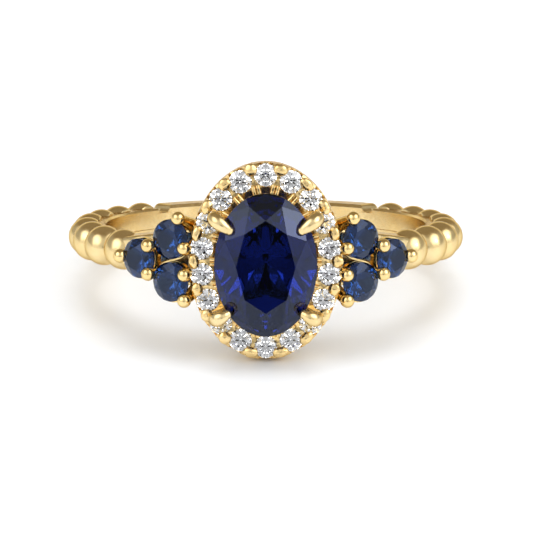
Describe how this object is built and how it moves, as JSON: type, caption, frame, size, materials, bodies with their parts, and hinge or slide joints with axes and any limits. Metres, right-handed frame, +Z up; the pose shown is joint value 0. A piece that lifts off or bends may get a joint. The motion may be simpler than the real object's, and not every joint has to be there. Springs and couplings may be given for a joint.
{
  "type": "engagement ring",
  "caption": "Oval halo engagement ring in yellow gold with a blue centre stone, blue stone clusters and beaded shoulders, lying on its side.",
  "frame": {"origin": "on the table, below the middle of the ring's bounding box, as it lies on its side", "axes": "+Z up; -Y towards the head and its centre stone; +Y towards the back of the band; +X to the right as the head is faced"},
  "size_m": [0.0208, 0.0232, 0.0097],
  "materials": {
    "shank_gold": "polished 14 karat yellow gold",
    "bead_gold": "polished 14 karat yellow gold",
    "shoulder_gold": "polished 14 karat yellow gold",
    "rail_gold": "polished 14 karat yellow gold",
    "halo_gold": "polished 14 karat yellow gold",
    "claw_gold": "polished 14 karat yellow gold",
    "cluster_gold": "polished 14 karat yellow gold",
    "centre_sapphire": "faceted deep blue sapphire",
    "side_sapphire": "faceted blue sapphire",
    "diamond": "faceted colourless diamond"
  },
  "bodies": {
    "root": {"centre_sapphire": "centre_sapphire", "claw_left_lower": "claw_gold", "claw_left_upper": "claw_gold", "claw_right_lower": "claw_gold", "claw_right_upper": "claw_gold", "gallery_rail": "rail_gold", "halo_diamond_01": "diamond", "halo_diamond_02": "diamond", "halo_diamond_03": "diamond", "halo_diamond_04": "diamond", "halo_diamond_05": "diamond", "halo_diamond_06": "diamond", "halo_diamond_07": "diamond", "halo_diamond_08": "diamond", "halo_diamond_09": "diamond", "halo_diamond_10": "diamond", "halo_diamond_11": "diamond", "halo_diamond_12": "diamond", "halo_diamond_13": "diamond", "halo_diamond_14": "diamond", "halo_diamond_15": "diamond", "halo_diamond_16": "diamond", "halo_diamond_17": "diamond", "halo_diamond_18": "diamond", "halo_inner_prongs": "halo_gold", "halo_outer_grains": "halo_gold", "halo_plate": "halo_gold", "left_beaded_wire": "bead_gold", "left_cluster_prongs": "cluster_gold", "left_cluster_seats": "cluster_gold", "left_sapphire_lower": "side_sapphire", "left_sapphire_outer": "side_sapphire", "left_sapphire_upper": "side_sapphire", "left_shoulder": "shoulder_gold", "right_beaded_wire": "bead_gold", "right_cluster_prongs": "cluster_gold", "right_cluster_seats": "cluster_gold", "right_sapphire_lower": "side_sapphire", "right_sapphire_outer": "side_sapphire", "right_sapphire_upper": "side_sapphire", "right_shoulder": "shoulder_gold", "shank": "shank_gold"}
  },
  "joints": []
}
